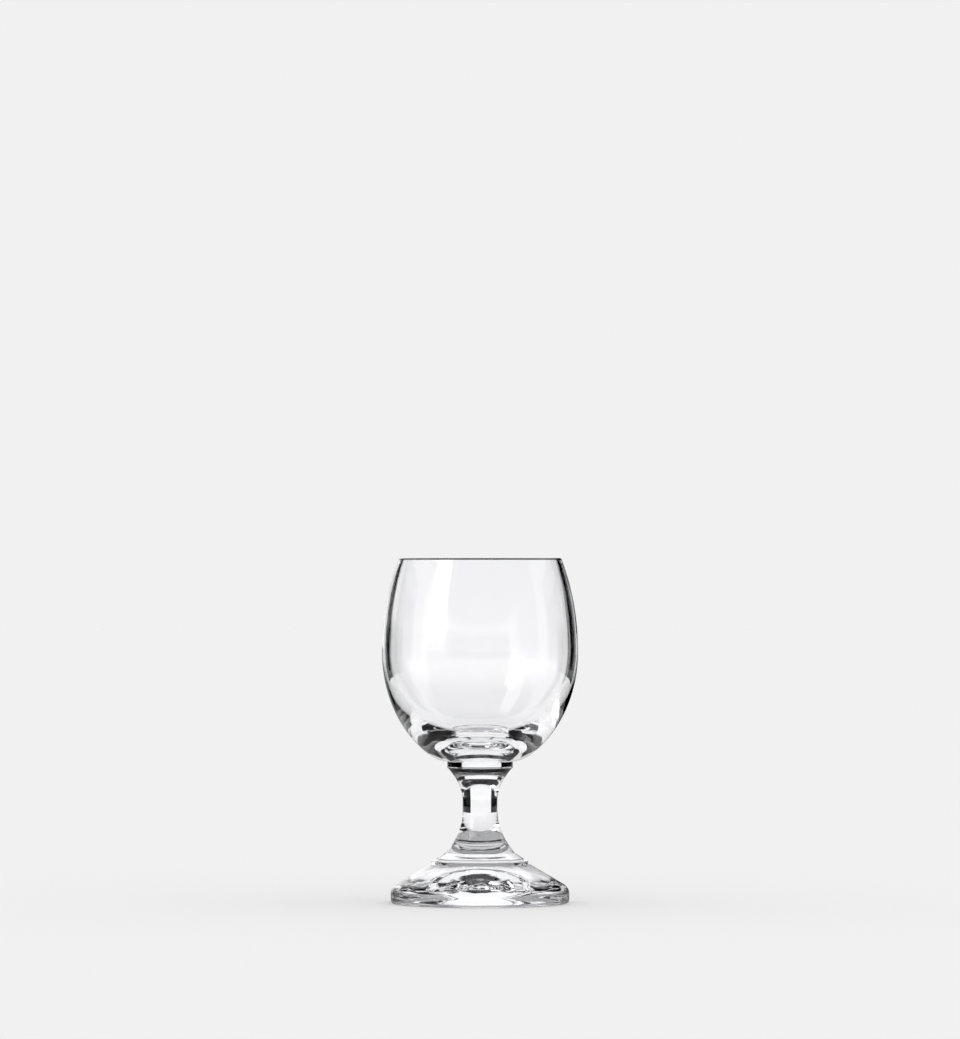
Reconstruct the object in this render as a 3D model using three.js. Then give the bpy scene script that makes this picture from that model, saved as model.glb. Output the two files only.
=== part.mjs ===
// A stemmed shot glass in clear pressed and blown glass.
// Five pieces stand on one upright axis, each formed by itself and fused hot to the next on a
// flat round seat: foot, stepped shoulder, stem, collar and bowl.
// Millimetres, +Z up. The origin is the centre of the ring that the foot stands on.

import * as THREE from 'three';

// Foot: a low cone with an upright edge, hollowed by a shallow dome underneath
const FOOT_RADIUS = 23.3;
const FOOT_EDGE_HEIGHT = 4.0;
const FOOT_SLOPE_HEIGHT = 6.2;
const FOOT_SEAT_RADIUS = 12.9;
const FOOT_EDGE_ROUND = 1.6;
const FOOT_BASE_ROUND = 1.0;
const PUNT_RADIUS = 16.1;
const PUNT_DEPTH = 3.1;
const PUNT_CROWN_RADIUS = 5.0;

// Shoulder: two stacked steps, the upper one sloping in to the stem
const LOWER_STEP_RADIUS = 12.6;
const LOWER_STEP_HEIGHT = 0.85;
const UPPER_STEP_RADIUS = 11.4;
const UPPER_STEP_HEIGHT = 0.55;
const SHOULDER_SLOPE_HEIGHT = 1.5;
const STEP_ROUND = 0.25;

// Stem: flares down to the shoulder and up to the collar from a narrow waist
const STEM_BASE_RADIUS = 9.0;
const STEM_WAIST_RADIUS = 4.55;
const STEM_TOP_RADIUS = 8.4;
const STEM_LOWER_FLARE = 10.9;
const STEM_WAIST_LENGTH = 2.6;
const STEM_UPPER_FLARE = 8.6;

// Collar: the wafer that joins the bowl to the stem
const COLLAR_RADIUS = 8.6;
const COLLAR_HEIGHT = 1.8;
const COLLAR_ROUND = 0.2;

// Bowl: a round body on a rounded heel, widest at the belly, drawn in to a plain rim
const HEEL_RADIUS = 13.9;
const HEEL_HEIGHT = 2.2;
const BELLY_RADIUS = 25.6;
const BELLY_ABOVE_SEAT = 28.5;
const RIM_ABOVE_BELLY = 24.5;
const RIM_RADIUS = 21.4;
const RIM_WALL = 1.3;
const BELLY_WALL = 1.9;
const BASE_THICKNESS = 5.4;
const FLOOR_RADIUS = 4.8;

// How far the inside reaches into the corner between wall and floor; 0.55 makes a quarter ellipse
const FLOOR_FULLNESS = 0.55;

// Facets
const TURN_STEPS = 48;
const CURVE_STEPS = 7;

const QUARTER_TURN = Math.PI / 2;

const clearGlass = new THREE.MeshStandardMaterial({
  name: 'clear_glass',
  color: 0xf2f5f4,
  roughness: 0.02,
  metalness: 0,
  transparent: true,
  opacity: 0.3,
});

// Draws a line from the path's current point towards corner and turns there towards next,
// with the corner rounded off over the length size on both sides.
function roundedCorner(path, corner, next, size) {
  const before = path.currentPoint.clone().sub(corner).setLength(size).add(corner);
  const after = next.clone().sub(corner).setLength(size).add(corner);
  path.lineTo(before.x, before.y);
  path.quadraticCurveTo(corner.x, corner.y, after.x, after.y);
}

// Revolves a profile of radius and height, which starts and ends on the axis, about +Z.
function revolved(name, profile) {
  const geometry = new THREE.LatheGeometry(profile.getPoints(CURVE_STEPS), TURN_STEPS);
  geometry.rotateX(QUARTER_TURN);
  const mesh = new THREE.Mesh(geometry, clearGlass);
  mesh.name = name;
  return mesh;
}

function footProfile() {
  const seatHeight = FOOT_EDGE_HEIGHT + FOOT_SLOPE_HEIGHT;
  const baseCorner = new THREE.Vector2(FOOT_RADIUS, 0);
  const edgeCorner = new THREE.Vector2(FOOT_RADIUS, FOOT_EDGE_HEIGHT);
  const seatCorner = new THREE.Vector2(FOOT_SEAT_RADIUS, seatHeight);
  const profile = new THREE.Path();
  profile.moveTo(0, PUNT_DEPTH);
  profile.quadraticCurveTo(PUNT_CROWN_RADIUS, PUNT_DEPTH, PUNT_RADIUS, 0);
  roundedCorner(profile, baseCorner, edgeCorner, FOOT_BASE_ROUND);
  roundedCorner(profile, edgeCorner, seatCorner, FOOT_EDGE_ROUND);
  profile.lineTo(seatCorner.x, seatCorner.y);
  profile.lineTo(0, seatHeight);
  return profile;
}

function shoulderProfile() {
  const ledge = LOWER_STEP_HEIGHT;
  const slopeFoot = ledge + UPPER_STEP_HEIGHT;
  const top = slopeFoot + SHOULDER_SLOPE_HEIGHT;
  const lowerCorner = new THREE.Vector2(LOWER_STEP_RADIUS, ledge);
  const upperCorner = new THREE.Vector2(UPPER_STEP_RADIUS, slopeFoot);
  const ledgeEnd = new THREE.Vector2(UPPER_STEP_RADIUS, ledge);
  const stemSeat = new THREE.Vector2(STEM_BASE_RADIUS, top);
  const profile = new THREE.Path();
  profile.moveTo(0, 0);
  profile.lineTo(LOWER_STEP_RADIUS, 0);
  roundedCorner(profile, lowerCorner, ledgeEnd, STEP_ROUND);
  profile.lineTo(ledgeEnd.x, ledgeEnd.y);
  roundedCorner(profile, upperCorner, stemSeat, STEP_ROUND);
  profile.lineTo(stemSeat.x, stemSeat.y);
  profile.lineTo(0, top);
  return profile;
}

function stemProfile() {
  const waistStart = STEM_LOWER_FLARE;
  const waistEnd = waistStart + STEM_WAIST_LENGTH;
  const top = waistEnd + STEM_UPPER_FLARE;
  const profile = new THREE.Path();
  profile.moveTo(0, 0);
  profile.lineTo(STEM_BASE_RADIUS, 0);
  profile.quadraticCurveTo(STEM_WAIST_RADIUS, STEM_LOWER_FLARE / 2, STEM_WAIST_RADIUS, waistStart);
  profile.lineTo(STEM_WAIST_RADIUS, waistEnd);
  profile.quadraticCurveTo(STEM_WAIST_RADIUS, top - STEM_UPPER_FLARE / 2, STEM_TOP_RADIUS, top);
  profile.lineTo(0, top);
  return profile;
}

function collarProfile() {
  const lowerCorner = new THREE.Vector2(COLLAR_RADIUS, 0);
  const upperCorner = new THREE.Vector2(COLLAR_RADIUS, COLLAR_HEIGHT);
  const topCentre = new THREE.Vector2(0, COLLAR_HEIGHT);
  const profile = new THREE.Path();
  profile.moveTo(0, 0);
  roundedCorner(profile, lowerCorner, upperCorner, COLLAR_ROUND);
  roundedCorner(profile, upperCorner, topCentre, COLLAR_ROUND);
  profile.lineTo(topCentre.x, topCentre.y);
  return profile;
}

// Half-height of an ellipse that is as wide as the belly and passes at this radius,
// this far above or below it.
function ellipseHeight(bellyRadius, radius, distance) {
  return distance / Math.sqrt(1 - (radius / bellyRadius) ** 2);
}

// The heel starts level at the seat and turns up where the body's own slope would meet that level,
// so that it runs into the body without a break.
function bowlProfile() {
  const belly = BELLY_ABOVE_SEAT;
  const lipRadius = RIM_WALL / 2;
  const lipHeight = RIM_ABOVE_BELLY - lipRadius;
  const innerRim = RIM_RADIUS - RIM_WALL;
  const innerBelly = BELLY_RADIUS - BELLY_WALL;
  const outerBelow = ellipseHeight(BELLY_RADIUS, HEEL_RADIUS, BELLY_ABOVE_SEAT - HEEL_HEIGHT);
  const outerAbove = ellipseHeight(BELLY_RADIUS, RIM_RADIUS, lipHeight);
  const innerAbove = ellipseHeight(innerBelly, innerRim, lipHeight);
  const heelAngle = -Math.acos(HEEL_RADIUS / BELLY_RADIUS);
  const heelSlope = -outerBelow / BELLY_RADIUS / Math.tan(heelAngle);
  const heelTurn = HEEL_RADIUS - HEEL_HEIGHT / heelSlope;
  const outerRimAngle = Math.acos(RIM_RADIUS / BELLY_RADIUS);
  const innerRimAngle = Math.acos(innerRim / innerBelly);
  const floor = BASE_THICKNESS;
  const wallEnd = belly + (floor - belly) * FLOOR_FULLNESS;
  const floorEnd = FLOOR_RADIUS + (innerBelly - FLOOR_RADIUS) * FLOOR_FULLNESS;
  const profile = new THREE.Path();
  profile.moveTo(0, 0);
  profile.lineTo(COLLAR_RADIUS, 0);
  profile.quadraticCurveTo(heelTurn, 0, HEEL_RADIUS, HEEL_HEIGHT);
  profile.absellipse(0, belly, BELLY_RADIUS, outerBelow, heelAngle, 0);
  profile.absellipse(0, belly, BELLY_RADIUS, outerAbove, 0, outerRimAngle);
  profile.absarc(RIM_RADIUS - lipRadius, belly + lipHeight, lipRadius, 0, Math.PI);
  profile.absellipse(0, belly, innerBelly, innerAbove, innerRimAngle, 0, true);
  profile.bezierCurveTo(innerBelly, wallEnd, floorEnd, floor, FLOOR_RADIUS, floor);
  profile.lineTo(0, floor);
  return profile;
}

const shotGlass = new THREE.Group();
shotGlass.name = 'stemmed_shot_glass';

const foot = revolved('foot', footProfile());
shotGlass.add(foot);

const shoulder = revolved('stepped_shoulder', shoulderProfile());
shoulder.position.z = FOOT_EDGE_HEIGHT + FOOT_SLOPE_HEIGHT;
shotGlass.add(shoulder);

const stem = revolved('stem', stemProfile());
stem.position.z = shoulder.position.z + LOWER_STEP_HEIGHT + UPPER_STEP_HEIGHT + SHOULDER_SLOPE_HEIGHT;
shotGlass.add(stem);

const collar = revolved('collar', collarProfile());
collar.position.z = stem.position.z + STEM_LOWER_FLARE + STEM_WAIST_LENGTH + STEM_UPPER_FLARE;
shotGlass.add(collar);

const bowl = revolved('bowl', bowlProfile());
bowl.position.z = collar.position.z + COLLAR_HEIGHT;
shotGlass.add(bowl);

export default shotGlass;
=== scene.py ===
"""Dresses a packed stemmed shot glass: five fused pieces of clear glass on a pale floor."""

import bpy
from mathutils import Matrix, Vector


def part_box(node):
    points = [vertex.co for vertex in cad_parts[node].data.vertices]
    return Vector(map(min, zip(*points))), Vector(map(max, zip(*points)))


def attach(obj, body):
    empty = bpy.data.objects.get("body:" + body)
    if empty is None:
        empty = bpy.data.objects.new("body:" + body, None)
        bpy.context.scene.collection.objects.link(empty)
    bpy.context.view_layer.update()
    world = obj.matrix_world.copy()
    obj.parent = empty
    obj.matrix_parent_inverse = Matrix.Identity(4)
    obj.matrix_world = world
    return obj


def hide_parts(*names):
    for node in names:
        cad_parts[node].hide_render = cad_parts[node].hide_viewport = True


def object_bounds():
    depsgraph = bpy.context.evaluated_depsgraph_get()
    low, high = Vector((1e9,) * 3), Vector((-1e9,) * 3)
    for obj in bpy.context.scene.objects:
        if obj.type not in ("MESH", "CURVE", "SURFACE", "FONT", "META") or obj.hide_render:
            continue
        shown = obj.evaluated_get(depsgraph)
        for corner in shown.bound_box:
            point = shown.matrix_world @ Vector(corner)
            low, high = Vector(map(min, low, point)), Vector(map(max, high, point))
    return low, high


bl_info = {
    "name": "Stemmed Shot Glass",
    "version": (1, 0, 0),
    "blender": (4, 5, 0),
    "location": "3D View > Sidebar > Glass",
    "description": "Turns the five pieces of a stemmed shot glass and sets a pale stage for them",
    "category": "Object",
}

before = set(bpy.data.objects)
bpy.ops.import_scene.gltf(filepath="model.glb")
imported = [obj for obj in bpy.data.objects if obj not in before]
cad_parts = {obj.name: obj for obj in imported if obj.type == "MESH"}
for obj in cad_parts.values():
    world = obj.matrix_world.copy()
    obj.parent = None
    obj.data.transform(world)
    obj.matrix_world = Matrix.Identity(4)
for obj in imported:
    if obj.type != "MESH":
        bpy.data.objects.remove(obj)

import math
from typing import NamedTuple

import bmesh
import bpy
from bpy.props import FloatProperty, FloatVectorProperty, IntProperty, PointerProperty
from bpy.types import Operator, Panel, PropertyGroup
from mathutils import Vector

BODY = "root"

CAD_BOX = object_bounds()
FOOT_LOW, FOOT_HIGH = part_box("foot")
SHOULDER_LOW, SHOULDER_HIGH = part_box("stepped_shoulder")
STEM_LOW, STEM_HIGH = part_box("stem")
COLLAR_LOW, COLLAR_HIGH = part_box("collar")
BOWL_LOW, BOWL_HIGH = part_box("bowl")

# The photograph's height and what was read from it, in its own pixels
PHOTO_HEIGHT = 1039
HORIZON_ROW = 558.0
PIXELS_PER_METRE = 3830.0

# Points closer than this, in metres, are one point
MERGE = 1e-7

# Faces that meet at more than this angle keep a sharp edge
SHARP_ANGLE = math.radians(30)

# Faces along each curved sheet of the stage
SHEET_STEPS = 16

# How often light is followed through the glass, and how often in mirrors
GLASS_BOUNCES = 32
MIRROR_BOUNCES = 16

# Sockets of a Mix node that mixes colours
MIX_SHARE = 0
MIX_FIRST = 6
MIX_SECOND = 7
MIX_RESULT = 2

QUARTER_TURN = math.pi / 2


def length(name, default, description):
    """A size in metres that a user can change."""
    return FloatProperty(
        name=name, description=description, default=default, unit="LENGTH", precision=5
    )


def angle(name, degrees, description):
    """An angle that a user can change."""
    default = math.radians(degrees)
    return FloatProperty(name=name, description=description, default=default, subtype="ANGLE")


def colour(name, default, description):
    """A colour that a user can change."""
    return FloatVectorProperty(
        name=name, description=description, default=default, size=3, subtype="COLOR"
    )


class FootSizes(PropertyGroup):
    radius: length("Radius", FOOT_HIGH.x, "Radius of the upright edge")
    height: length("Height", FOOT_HIGH.z, "Height of the seat above the table")
    edge_height: length("Edge height", 0.0040, "Height where the slope meets the upright edge")
    seat_radius: length("Seat radius", 0.0129, "Radius of the flat that the shoulder stands on")
    edge_round: length("Edge round", 0.0016, "How far the top of the edge is rounded")
    base_round: length("Base round", 0.0010, "How far the bottom of the edge is rounded")
    punt_radius: length("Hollow radius", 0.0161, "Radius of the hollow underneath")
    punt_depth: length("Hollow depth", 0.0031, "Depth of the hollow underneath")
    crown_radius: length("Crown radius", 0.0050, "Radius where the hollow's crown turns to its slope")


class ShoulderSizes(PropertyGroup):
    lower_radius: length("Lower radius", SHOULDER_HIGH.x, "Radius of the lower step")
    lower_height: length("Lower height", 0.00085, "Height of the lower step")
    upper_radius: length("Upper radius", 0.0114, "Radius of the upper step")
    upper_height: length("Upper height", 0.00055, "Height of the upright part of the upper step")
    step_round: length("Step round", 0.00025, "How far the edge of each step is rounded")


class StemSizes(PropertyGroup):
    base_radius: length("Base radius", 0.0090, "Radius where the stem meets the shoulder")
    waist_radius: length("Waist radius", 0.00455, "Radius of the narrow waist")
    top_radius: length("Top radius", 0.0084, "Radius where the stem meets the collar")
    lower_flare: length("Lower flare", 0.0109, "Height of the flare below the waist")
    upper_flare: length("Upper flare", 0.0086, "Height of the flare above the waist")


class CollarSizes(PropertyGroup):
    radius: length("Radius", COLLAR_HIGH.x, "Radius of the wafer")
    edge_round: length("Edge round", 0.0002, "How far its two edges are rounded")


class BowlSizes(PropertyGroup):
    belly_radius: length("Belly radius", BOWL_HIGH.x, "Outer radius at the widest height")
    heel_radius: length("Heel radius", 0.0139, "Radius where the rounded heel meets the body")
    heel_height: length("Heel height", 0.0022, "Height of the rounded heel")
    belly_above_seat: length("Belly above seat", 0.0285, "Height of the belly above the collar")
    rim_radius: length("Rim radius", 0.0214, "Outer radius of the rim")
    rim_wall: length("Rim wall", 0.0013, "Thickness of the rim")
    belly_wall: length("Belly wall", 0.0019, "Thickness of the wall at the belly")
    base_thickness: length("Base thickness", 0.0054, "Thickness of the glass under the drink")
    floor_radius: length("Floor radius", 0.0048, "Radius of the flat floor inside")
    floor_fullness: FloatProperty(
        name="Floor fullness",
        description="How far the inside reaches into the corner of wall and floor; 0.55 is an ellipse",
        default=0.55,
    )


class GlassFinish(PropertyGroup):
    tint: colour("Tint", (0.985, 0.985, 1.0), "Colour that the glass passes")
    ior: FloatProperty(name="Refraction", description="Refractive index", default=1.52)
    polish: FloatProperty(name="Polish", description="Roughness of the polished surface", default=0.0)
    wave_size: length("Wave size", 0.006, "Width of the slow waves that a mould leaves")
    wave_height: length("Wave height", 0.00002, "Height of those waves")
    mark_size: length("Mark size", 0.003, "Width of the finer marks that a press leaves in the foot")
    mark_height: length("Mark height", 0.00007, "Height of those marks")
    mark_reach: length("Mark reach", 0.008, "Height above the table where the marks have faded out")
    # Painted shade: the top of the lip is painted near black for the dark line that shade draws along the
    # rim; the two sizes below say how far down it reaches and how softly it comes in
    rim_painted_shade: colour("Rim painted shade", (0.02, 0.02, 0.02), "Colour of the lip, lit up the whole wall")
    rim_shade_depth: length("Rim depth", 0.00056, "How far down from the top the lip takes its tint")
    rim_shade_fade: length("Rim fade", 0.00014, "Height over which that tint comes in")
    turn_steps: IntProperty(name="Turn steps", description="Faces round each piece", default=256)
    curve_steps: IntProperty(name="Curve steps", description="Faces along each curve", default=24)


class StageSettings(PropertyGroup):
    backdrop: colour("Backdrop", (0.8796, 0.8796, 0.8796), "Floor and background for the camera")
    light: colour("Light", (1.0, 1.0, 1.0), "The even light all round")
    sky: colour("Sky", (1.05, 1.05, 1.05), "That light, as the glass shows it")
    bounce: colour("Bounce", (0.97, 0.97, 0.97), "The floor, as the glass bends its light")
    # Painted shade: the floor is painted darker for mirrored rays than for the camera, so the glass shows
    # a darker reflection of it
    mirrored_floor_shade: colour("Mirrored floor shade", (0.3, 0.3, 0.3), "The floor, as the glass mirrors it")
    floor_side: length("Floor side", 12.0, "Side of the square floor")
    floor_drop: length("Floor drop", 0.00005, "Gap between the floor and the foot")
    camera_distance: length("Camera distance", 1.57, "Distance from the camera to the stem")
    black: colour("Black", (0.002, 0.002, 0.002), "Colour of the dark overhead")
    dark_from: angle("Dark from", 25, "Height above the horizon where the light starts to fade out")
    dark_to: angle("Dark to", 31, "Height above the horizon where the light has faded out")
    dark_lean: angle("Dark lean", 19, "How far the dark overhead leans to the camera's side")


class Sheet(NamedTuple):
    """A curved sheet that stands about the glass, for mirrored and bent rays alone.

    It runs from a first to a last azimuth, in degrees from straight behind the glass, positive to
    the right in the photograph. Fades are shares of its width and height. It is black unless it glows.
    """

    name: str
    first: float
    last: float
    distance: float
    bottom: float = 0.0
    top: float = 0.2
    side_fade: float = 0.05
    foot_fade: float = 0.01
    top_fade: float = 0.3
    glow: float = 0.0
    mirrored: bool = True
    bent: bool = True


SHEETS = (
    Sheet("flag_left", -45, -28, distance=0.24, top=0.22, top_fade=0.35),
    Sheet("flag_left_low", -76, -42, distance=0.24, top=0.095),
    Sheet("flag_right", 22, 60, distance=0.24, top=0.22, top_fade=0.35),
    Sheet("flag_right_low", 56, 76, distance=0.24, top=0.095),
    Sheet("flag_right_edge", 6, 25, distance=0.24, top=0.22, bent=False),
    Sheet("side_left", -112, -40, distance=0.50, top=0.60, side_fade=0.1, bent=False),
    Sheet("side_right", 40, 140, distance=0.50, top=0.60, side_fade=0.1, bent=False),
    Sheet("front", 102, 222, distance=0.50, top=0.60, mirrored=False),
    Sheet(
        "softbox", -140, -113, distance=0.40, bottom=0.03, top=0.52,
        side_fade=0.1, foot_fade=0.3, glow=3.0,
    ),
    Sheet(
        "back_glow", -24, 24, distance=0.30, top=0.085,
        side_fade=0.3, foot_fade=0.7, top_fade=0.6, glow=1.14, mirrored=False,
    ),
)


class Signal:
    """One output of a node tree. Arithmetic on it adds Math nodes, so shader maths reads as Python."""

    def __init__(self, tree, socket):
        self.tree = tree
        self.socket = socket

    @classmethod
    def node(cls, tree, kind, settings=None, inputs=None, output=0):
        """Adds a node of this kind, sets it up, fills or links its inputs and returns one output."""
        made = tree.nodes.new(kind)
        for key, value in (settings or {}).items():
            setattr(made, key, value)
        for key, value in (inputs or {}).items():
            if isinstance(value, Signal):
                tree.links.new(value.socket, made.inputs[key])
            else:
                made.inputs[key].default_value = value
        return cls(tree, made.outputs[output]) if made.outputs else None

    def maths(self, operation, *values):
        """Adds a Math node of this operation on these values."""
        settings = {"operation": operation}
        return Signal.node(self.tree, "ShaderNodeMath", settings, dict(enumerate(values)))

    def __add__(self, other):
        return self.maths("ADD", self, other)

    def __radd__(self, other):
        return self.maths("ADD", other, self)

    def __sub__(self, other):
        return self.maths("SUBTRACT", self, other)

    def __rsub__(self, other):
        return self.maths("SUBTRACT", other, self)

    def __mul__(self, other):
        return self.maths("MULTIPLY", self, other)

    def __rmul__(self, other):
        return self.maths("MULTIPLY", other, self)


def new_tree(owner):
    """Turns on the nodes of a material or a world and empties them."""
    owner.use_nodes = True
    owner.node_tree.nodes.clear()
    return owner.node_tree


def fade_in(value, width):
    """A smooth step of a signal, from 0 at zero to 1 at width."""
    return Signal.node(
        value.tree,
        "ShaderNodeMapRange",
        {"interpolation_type": "SMOOTHSTEP"},
        {"Value": value, "From Min": 0.0, "From Max": width},
    )


def mix_colours(share, first, second):
    """A colour that turns from first to second as share grows from 0 to 1."""
    return Signal.node(
        share.tree,
        "ShaderNodeMix",
        {"data_type": "RGBA"},
        {MIX_SHARE: share, MIX_FIRST: (*first, 1.0), MIX_SECOND: (*second, 1.0)},
        MIX_RESULT,
    )


def mix_shaders(share, first, second):
    """A shader that turns from first to second as share grows from 0 to 1."""
    return Signal.node(share.tree, "ShaderNodeMixShader", inputs={0: share, 1: first, 2: second})


def noise(place, size):
    """Soft noise in space, with humps of this size."""
    return Signal.node(
        place.tree,
        "ShaderNodeTexNoise",
        {"noise_dimensions": "3D"},
        {"Vector": place, "Scale": 1 / size, "Detail": 1.0},
        "Fac",
    )


def glass_material(finish):
    """Clear polished glass with the slow waves of a mould, in the foot the marks of a press, and painted
    shade, a near-black line, on the top of the lip.
    """
    material = bpy.data.materials.new("polished_glass")
    tree = new_tree(material)
    place = Signal.node(tree, "ShaderNodeTexCoord", output="Object")
    height = Signal.node(tree, "ShaderNodeSeparateXYZ", inputs={0: place}, output="Z")
    # Painted shade: the top of the lip turns near black, a dark line of shade painted into the glass's
    # colour on top of its tint
    lip = fade_in(height - (BOWL_HIGH.z - finish.rim_shade_depth), finish.rim_shade_fade)
    tint = mix_colours(lip, finish.tint, finish.rim_painted_shade)
    waves = noise(place, finish.wave_size)
    marks = noise(place, finish.mark_size)
    pressed = 1.0 - fade_in(height, finish.mark_reach)
    relief = waves + finish.mark_height / finish.wave_height * pressed * marks
    surface = Signal.node(
        tree,
        "ShaderNodeBump",
        inputs={"Strength": 1.0, "Distance": finish.wave_height, "Height": relief},
    )
    glass = Signal.node(
        tree,
        "ShaderNodeBsdfPrincipled",
        inputs={
            "Base Color": tint,
            "Roughness": finish.polish,
            "IOR": finish.ior,
            "Transmission Weight": 1.0,
            "Normal": surface,
        },
    )
    Signal.node(tree, "ShaderNodeOutputMaterial", inputs={"Surface": glass})
    return material


def fused_material():
    """The seat inside two fused pieces, where light passes on unbent."""
    material = bpy.data.materials.new("fused_seat")
    tree = new_tree(material)
    clear = Signal.node(tree, "ShaderNodeBsdfTransparent")
    Signal.node(tree, "ShaderNodeOutputMaterial", inputs={"Surface": clear})
    return material


class Outline:
    """Half of a section through a turned piece: points of radius and height, from axis to axis."""

    def __init__(self, steps, height):
        self.steps = steps
        self.points = [Vector((0.0, height))]

    def line_to(self, radius, height):
        """A straight line from the last point."""
        self.points.append(Vector((radius, height)))

    def curve_to(self, control, end):
        """A parabola from the last point to end, heading for control first."""
        start = self.points[-1]
        for step in range(1, self.steps + 1):
            t = step / self.steps
            near = start.lerp(control, t)
            far = control.lerp(end, t)
            self.points.append(near.lerp(far, t))

    def swing_to(self, first, second, end):
        """A cubic curve from the last point to end, heading for first and coming in from second."""
        start = self.points[-1]
        for step in range(1, self.steps + 1):
            t = step / self.steps
            near = start.lerp(first, t)
            middle = first.lerp(second, t)
            far = second.lerp(end, t)
            self.points.append(near.lerp(middle, t).lerp(middle.lerp(far, t), t))

    def rounded_corner(self, corner, after, size):
        """A line towards corner that turns there towards after, rounded over size on both sides."""
        start = corner + (self.points[-1] - corner).normalized() * size
        end = corner + (after - corner).normalized() * size
        self.line_to(*start)
        self.curve_to(corner, end)

    def ellipse(self, height, half_width, half_height, first, last):
        """An arc of an ellipse about a point of the axis, from angle first to angle last."""
        for step in range(self.steps + 1):
            turn = first + (last - first) * step / self.steps
            self.line_to(half_width * math.cos(turn), height + half_height * math.sin(turn))

    def arc(self, centre, radius, first, last):
        """An arc of a circle, from angle first to angle last."""
        for step in range(self.steps + 1):
            turn = first + (last - first) * step / self.steps
            self.line_to(centre.x + radius * math.cos(turn), centre.y + radius * math.sin(turn))

    def close(self, height):
        """A level line back to the axis."""
        self.line_to(0.0, height)


def ring(mesh, radius, height, steps):
    """The vertices of one turn, or the one vertex on the axis."""
    if radius < MERGE:
        return [mesh.verts.new((0.0, 0.0, height))] * steps
    turn = math.tau / steps
    return [
        mesh.verts.new((radius * math.cos(i * turn), radius * math.sin(i * turn), height))
        for i in range(steps)
    ]


def turned(name, outline, seats, steps):
    """Turns an outline about the axis.

    Each seat is a height and a radius: level faces at that height, out to that radius, are fused to
    the next piece and take the second material.
    """
    points = [outline.points[0]]
    for point in outline.points[1:]:
        if (point - points[-1]).length > MERGE:
            points.append(point)
    mesh = bmesh.new()
    rings = [ring(mesh, max(point.x, 0.0), point.y, steps) for point in points]
    for here, there, low, high in zip(points, points[1:], rings, rings[1:]):
        fused = any(
            abs(here.y - height) < MERGE
            and abs(there.y - height) < MERGE
            and max(here.x, there.x) < radius + MERGE
            for height, radius in seats
        )
        for i in range(steps):
            after = (i + 1) % steps
            corners = [low[i], low[after], high[after], high[i]]
            face = mesh.faces.new(list(dict.fromkeys(corners)))
            face.smooth = True
            face.material_index = 1 if fused else 0
    data = bpy.data.meshes.new(name)
    mesh.normal_update()
    mesh.to_mesh(data)
    mesh.free()
    data.set_sharp_from_angle(angle=SHARP_ANGLE)
    return data


def glass_piece(context, node, outline, seats):
    """Makes the piece that stands for a node, in glass with fused seats, and sets it on its body."""
    finish = context.scene.shot_glass_finish
    data = turned(node, outline, seats, finish.turn_steps)
    glass = bpy.data.materials.get("polished_glass") or glass_material(finish)
    data.materials.append(glass)
    data.materials.append(bpy.data.materials.get("fused_seat") or fused_material())
    piece = bpy.data.objects.new(node + "_glass", data)
    context.scene.collection.objects.link(piece)
    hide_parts(node)
    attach(piece, BODY)


class SHOTGLASS_OT_foot(Operator):
    """Turns the conical foot with its hollow underside"""

    bl_idname = "shot_glass.foot"
    bl_label = "Foot"

    def execute(self, context):
        sizes = context.scene.shot_glass_foot
        shoulder = context.scene.shot_glass_shoulder
        steps = context.scene.shot_glass_finish.curve_steps
        base = FOOT_LOW.z
        top = base + sizes.height
        hollow_top = base + sizes.punt_depth
        base_corner = Vector((sizes.radius, base))
        edge_corner = Vector((sizes.radius, base + sizes.edge_height))
        seat_corner = Vector((sizes.seat_radius, top))
        crown = Vector((sizes.crown_radius, hollow_top))
        outline = Outline(steps, hollow_top)
        outline.curve_to(crown, Vector((sizes.punt_radius, base)))
        outline.rounded_corner(base_corner, edge_corner, sizes.base_round)
        outline.rounded_corner(edge_corner, seat_corner, sizes.edge_round)
        outline.line_to(*seat_corner)
        outline.line_to(shoulder.lower_radius, top)
        outline.close(top)
        glass_piece(context, "foot", outline, [(top, shoulder.lower_radius)])
        return {"FINISHED"}


class SHOTGLASS_OT_shoulder(Operator):
    """Turns the two steps between the foot and the stem"""

    bl_idname = "shot_glass.stepped_shoulder"
    bl_label = "Stepped Shoulder"

    def execute(self, context):
        sizes = context.scene.shot_glass_shoulder
        stem = context.scene.shot_glass_stem
        steps = context.scene.shot_glass_finish.curve_steps
        base = SHOULDER_LOW.z
        top = SHOULDER_HIGH.z
        ledge = base + sizes.lower_height
        shelf = ledge + sizes.upper_height
        seat_corner = Vector((stem.base_radius, top))
        outline = Outline(steps, base)
        outline.line_to(sizes.lower_radius, base)
        outline.rounded_corner(
            Vector((sizes.lower_radius, ledge)),
            Vector((sizes.upper_radius, ledge)),
            sizes.step_round,
        )
        outline.line_to(sizes.upper_radius, ledge)
        outline.rounded_corner(Vector((sizes.upper_radius, shelf)), seat_corner, sizes.step_round)
        outline.line_to(*seat_corner)
        outline.close(top)
        seats = [(base, sizes.lower_radius), (top, stem.base_radius)]
        glass_piece(context, "stepped_shoulder", outline, seats)
        return {"FINISHED"}


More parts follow.
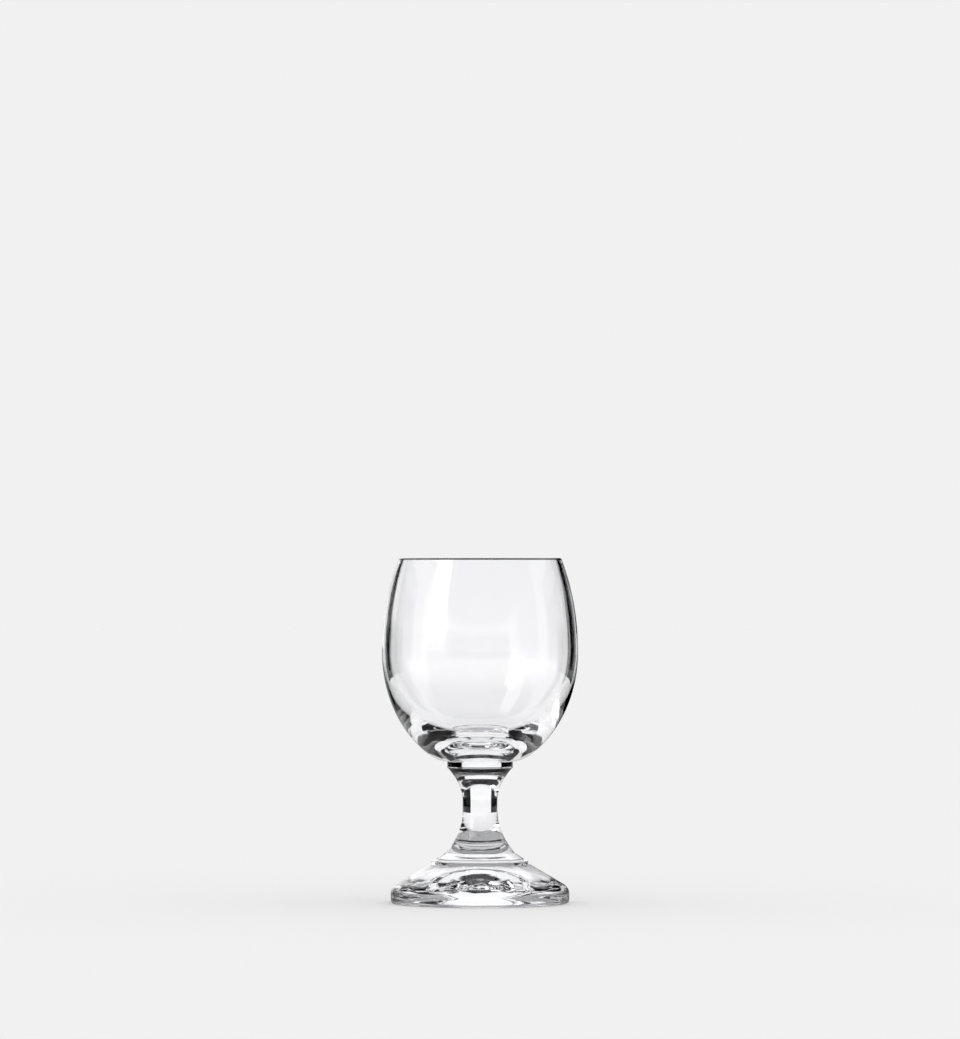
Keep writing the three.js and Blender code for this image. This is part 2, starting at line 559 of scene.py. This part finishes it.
class SHOTGLASS_OT_stem(Operator):
    """Turns the stem, which flares to both ends from a narrow waist"""

    bl_idname = "shot_glass.stem"
    bl_label = "Stem"

    def execute(self, context):
        sizes = context.scene.shot_glass_stem
        steps = context.scene.shot_glass_finish.curve_steps
        base = STEM_LOW.z
        top = STEM_HIGH.z
        outline = Outline(steps, base)
        outline.line_to(sizes.base_radius, base)
        outline.curve_to(
            Vector((sizes.waist_radius, base + sizes.lower_flare / 2)),
            Vector((sizes.waist_radius, base + sizes.lower_flare)),
        )
        outline.line_to(sizes.waist_radius, top - sizes.upper_flare)
        outline.curve_to(
            Vector((sizes.waist_radius, top - sizes.upper_flare / 2)),
            Vector((sizes.top_radius, top)),
        )
        outline.close(top)
        seats = [(base, sizes.base_radius), (top, sizes.top_radius)]
        glass_piece(context, "stem", outline, seats)
        return {"FINISHED"}


class SHOTGLASS_OT_collar(Operator):
    """Turns the wafer between the stem and the bowl"""

    bl_idname = "shot_glass.collar"
    bl_label = "Collar"

    def execute(self, context):
        sizes = context.scene.shot_glass_collar
        stem = context.scene.shot_glass_stem
        steps = context.scene.shot_glass_finish.curve_steps
        base = COLLAR_LOW.z
        top = COLLAR_HIGH.z
        low_corner = Vector((sizes.radius, base))
        high_corner = Vector((sizes.radius, top))
        outline = Outline(steps, base)
        outline.line_to(stem.top_radius, base)
        outline.rounded_corner(low_corner, high_corner, sizes.edge_round)
        outline.rounded_corner(high_corner, Vector((0.0, top)), sizes.edge_round)
        outline.close(top)
        seats = [(base, stem.top_radius), (top, sizes.radius - sizes.edge_round)]
        glass_piece(context, "collar", outline, seats)
        return {"FINISHED"}


def ellipse_height(belly_radius, radius, distance):
    """Half height of an ellipse, widest at the belly, that has this radius at this distance from it."""
    return distance / math.sqrt(1 - (radius / belly_radius) ** 2)


class SHOTGLASS_OT_bowl(Operator):
    """Turns the bowl with its rim and its heavy base"""

    bl_idname = "shot_glass.bowl"
    bl_label = "Bowl"

    def execute(self, context):
        sizes = context.scene.shot_glass_bowl
        collar = context.scene.shot_glass_collar
        steps = context.scene.shot_glass_finish.curve_steps
        base = BOWL_LOW.z
        belly = base + sizes.belly_above_seat
        lip_radius = sizes.rim_wall / 2
        lip = Vector((sizes.rim_radius - lip_radius, BOWL_HIGH.z - lip_radius))
        lip_above_belly = lip.y - belly
        inner_belly = sizes.belly_radius - sizes.belly_wall
        inner_rim = sizes.rim_radius - sizes.rim_wall
        heel_below_belly = sizes.belly_above_seat - sizes.heel_height
        outer_below = ellipse_height(sizes.belly_radius, sizes.heel_radius, heel_below_belly)
        outer_above = ellipse_height(sizes.belly_radius, sizes.rim_radius, lip_above_belly)
        inner_above = ellipse_height(inner_belly, inner_rim, lip_above_belly)
        heel_angle = -math.acos(sizes.heel_radius / sizes.belly_radius)
        outer_rim_angle = math.acos(sizes.rim_radius / sizes.belly_radius)
        inner_rim_angle = math.acos(inner_rim / inner_belly)
        heel = Vector((sizes.heel_radius, base + sizes.heel_height))
        # The heel starts level and turns up where the body's slope, drawn on, meets that level
        heel_slope = -outer_below / sizes.belly_radius / math.tan(heel_angle)
        heel_turn = Vector((sizes.heel_radius - sizes.heel_height / heel_slope, base))
        floor = base + sizes.base_thickness
        floor_edge = Vector((sizes.floor_radius, floor))
        wall_foot = Vector((inner_belly, floor))
        inner_wall = Vector((inner_belly, belly))
        seat = collar.radius - collar.edge_round
        outline = Outline(steps, base)
        outline.line_to(seat, base)
        outline.line_to(collar.radius, base)
        outline.curve_to(heel_turn, heel)
        outline.ellipse(belly, sizes.belly_radius, outer_below, heel_angle, 0.0)
        outline.ellipse(belly, sizes.belly_radius, outer_above, 0.0, outer_rim_angle)
        outline.arc(lip, lip_radius, 0.0, math.pi)
        outline.ellipse(belly, inner_belly, inner_above, inner_rim_angle, 0.0)
        outline.swing_to(
            inner_wall.lerp(wall_foot, sizes.floor_fullness),
            floor_edge.lerp(wall_foot, sizes.floor_fullness),
            floor_edge,
        )
        outline.close(floor)
        glass_piece(context, "bowl", outline, [(base, seat)])
        return {"FINISHED"}


def stage_material(name, shader_of):
    """A material for the stage, whose shader shader_of adds to its tree."""
    material = bpy.data.materials.new(name)
    tree = new_tree(material)
    Signal.node(tree, "ShaderNodeOutputMaterial", inputs={"Surface": shader_of(tree)})
    return material


def plain_shader(tree, kind, shade):
    """A shader of this kind in one colour."""
    return Signal.node(tree, kind, inputs={"Color": (*shade, 1.0)})


def ray(tree, fact):
    """One fact about the ray that is being followed, such as whether the camera sent it."""
    return Signal.node(tree, "ShaderNodeLightPath", output=fact)


def paper_shader(tree, settings):
    """The floor's paper, in one shade for the camera, a painted darker shade for mirrored rays and one
    for all others.
    """
    kind = "ShaderNodeBsdfDiffuse"
    seen = plain_shader(tree, kind, settings.backdrop)
    bent = plain_shader(tree, kind, settings.bounce)
    # Painted shade: mirrored rays see the floor darker, which paints the glass's reflection of the floor
    # darker
    mirrored = plain_shader(tree, kind, settings.mirrored_floor_shade)
    shown = mix_shaders(ray(tree, "Is Reflection Ray"), bent, mirrored)
    return mix_shaders(ray(tree, "Is Camera Ray"), shown, seen)


def sheet_shader(tree, sheet):
    """A sheet's face, which fades out to nothing at its edges."""
    place = Signal.node(tree, "ShaderNodeUVMap", output="UV")
    along = Signal.node(tree, "ShaderNodeSeparateXYZ", inputs={0: place}, output="X")
    up = Signal.node(tree, "ShaderNodeSeparateXYZ", inputs={0: place}, output="Y")
    sides = fade_in(along, sheet.side_fade) * fade_in(1.0 - along, sheet.side_fade)
    cover = sides * fade_in(up, sheet.foot_fade) * fade_in(1.0 - up, sheet.top_fade)
    nothing = Signal.node(tree, "ShaderNodeBsdfTransparent")
    face = plain_shader(tree, "ShaderNodeEmission", (sheet.glow, sheet.glow, sheet.glow))
    return mix_shaders(cover, nothing, face)


def stage_object(context, name, corners, faces, material):
    """An object of the stage, which isn't part of the glass."""
    data = bpy.data.meshes.new(name)
    data.from_pydata(corners, [], faces)
    data.materials.append(material)
    made = bpy.data.objects.new(name, data)
    context.scene.collection.objects.link(made)
    return made


def lay_floor(context, settings):
    """Lays a square floor just under the foot."""
    side = settings.floor_side / 2
    height = -settings.floor_drop
    corners = [(-side, -side, height), (side, -side, height), (side, side, height), (-side, side, height)]
    paper = stage_material("floor_paper", lambda tree: paper_shader(tree, settings))
    stage_object(context, "floor", corners, [(0, 1, 2, 3)], paper)


def stand_sheet(context, sheet):
    """Stands a sheet about the axis of the glass, for the rays that the glass mirrors or bends."""
    corners = []
    for step in range(SHEET_STEPS + 1):
        turn = math.radians(sheet.first + (sheet.last - sheet.first) * step / SHEET_STEPS)
        for height in (sheet.bottom, sheet.top):
            corners.append((sheet.distance * math.sin(turn), sheet.distance * math.cos(turn), height))
    faces = [(2 * i, 2 * i + 2, 2 * i + 3, 2 * i + 1) for i in range(SHEET_STEPS)]
    material = stage_material(sheet.name, lambda tree: sheet_shader(tree, sheet))
    made = stage_object(context, sheet.name, corners, faces, material)
    places = made.data.uv_layers.new(name="sheet")
    for loop in made.data.loops:
        column, row = divmod(loop.vertex_index, 2)
        places.data[loop.index].uv = (column / SHEET_STEPS, row)
    made.visible_camera = False
    made.visible_diffuse = False
    made.visible_shadow = False
    made.visible_glossy = sheet.mirrored
    made.visible_transmission = sheet.bent


def studio_light(context, settings):
    """Lights evenly from all round, but shows the camera the backdrop and the glass a dark overhead."""
    world = bpy.data.worlds.new("studio_light")
    context.scene.world = world
    tree = new_tree(world)
    kind = "ShaderNodeBackground"
    place = Signal.node(tree, "ShaderNodeTexCoord", output="Generated")
    lean = settings.dark_lean
    overhead = Signal.node(
        tree,
        "ShaderNodeVectorMath",
        {"operation": "DOT_PRODUCT"},
        {0: place, 1: (0.0, -math.sin(lean), math.cos(lean))},
        "Value",
    )
    start = math.sin(settings.dark_from)
    dark = fade_in(overhead - start, math.sin(settings.dark_to) - start)
    mirrored = ray(tree, "Is Glossy Ray")
    bent = ray(tree, "Is Transmission Ray")
    matt = ray(tree, "Diffuse Depth")
    shown = mirrored.maths("MAXIMUM", mirrored, bent) * (1.0 - matt.maths("MINIMUM", matt, 1.0))
    bright = plain_shader(tree, kind, settings.sky)
    black = plain_shader(tree, kind, settings.black)
    even = plain_shader(tree, kind, settings.light)
    backdrop = plain_shader(tree, kind, settings.backdrop)
    sky = mix_shaders(dark, bright, black)
    light = mix_shaders(shown, even, sky)
    surroundings = mix_shaders(ray(tree, "Is Camera Ray"), light, backdrop)
    Signal.node(tree, "ShaderNodeOutputWorld", inputs={"Surface": surroundings})


def place_camera(context, settings):
    """Stands the camera level with the rim, as in the photograph."""
    data = bpy.data.cameras.new("camera")
    focal_pixels = PIXELS_PER_METRE * settings.camera_distance
    # The sensor's width lies along the longer side of the picture, which is its height
    data.lens = data.sensor_width * focal_pixels / PHOTO_HEIGHT
    camera = bpy.data.objects.new("camera", data)
    context.scene.collection.objects.link(camera)
    camera.location = (0.0, -settings.camera_distance, CAD_BOX[1].z)
    tilt = math.atan((HORIZON_ROW - PHOTO_HEIGHT / 2) / focal_pixels)
    camera.rotation_euler = (QUARTER_TURN + tilt, 0.0, 0.0)
    context.scene.camera = camera


class SHOTGLASS_OT_stage(Operator):
    """Sets the floor, the even light, the sheets and the camera"""

    bl_idname = "shot_glass.stage"
    bl_label = "Stage"

    def execute(self, context):
        scene = context.scene
        settings = scene.shot_glass_stage
        lay_floor(context, settings)
        studio_light(context, settings)
        for sheet in SHEETS:
            stand_sheet(context, sheet)
        place_camera(context, settings)
        scene.view_settings.view_transform = "Standard"
        scene.cycles.max_bounces = GLASS_BOUNCES
        scene.cycles.transmission_bounces = GLASS_BOUNCES
        scene.cycles.transparent_max_bounces = GLASS_BOUNCES
        scene.cycles.glossy_bounces = MIRROR_BOUNCES
        return {"FINISHED"}


class SHOTGLASS_PT_panel(Panel):
    """Lists the pieces of the glass and its stage"""

    bl_idname = "SHOTGLASS_PT_panel"
    bl_label = "Stemmed Shot Glass"
    bl_space_type = "VIEW_3D"
    bl_region_type = "UI"
    bl_category = "Glass"

    def draw(self, context):
        for operator in OPERATORS:
            self.layout.operator(operator.bl_idname)


OPERATORS = (
    SHOTGLASS_OT_stage,
    SHOTGLASS_OT_foot,
    SHOTGLASS_OT_shoulder,
    SHOTGLASS_OT_stem,
    SHOTGLASS_OT_collar,
    SHOTGLASS_OT_bowl,
)

GROUPS = {
    "shot_glass_foot": FootSizes,
    "shot_glass_shoulder": ShoulderSizes,
    "shot_glass_stem": StemSizes,
    "shot_glass_collar": CollarSizes,
    "shot_glass_bowl": BowlSizes,
    "shot_glass_finish": GlassFinish,
    "shot_glass_stage": StageSettings,
}


def register():
    for group in GROUPS.values():
        bpy.utils.register_class(group)
    for name, group in GROUPS.items():
        setattr(bpy.types.Scene, name, PointerProperty(type=group))
    for operator in OPERATORS:
        bpy.utils.register_class(operator)
    bpy.utils.register_class(SHOTGLASS_PT_panel)


def unregister():
    bpy.utils.unregister_class(SHOTGLASS_PT_panel)
    for operator in reversed(OPERATORS):
        bpy.utils.unregister_class(operator)
    for name in GROUPS:
        delattr(bpy.types.Scene, name)
    for group in reversed(GROUPS.values()):
        bpy.utils.unregister_class(group)


def main():
    register()
    bpy.ops.shot_glass.stage()
    bpy.ops.shot_glass.foot()
    bpy.ops.shot_glass.stepped_shoulder()
    bpy.ops.shot_glass.stem()
    bpy.ops.shot_glass.collar()
    bpy.ops.shot_glass.bowl()


if __name__ == "__main__":
    main()
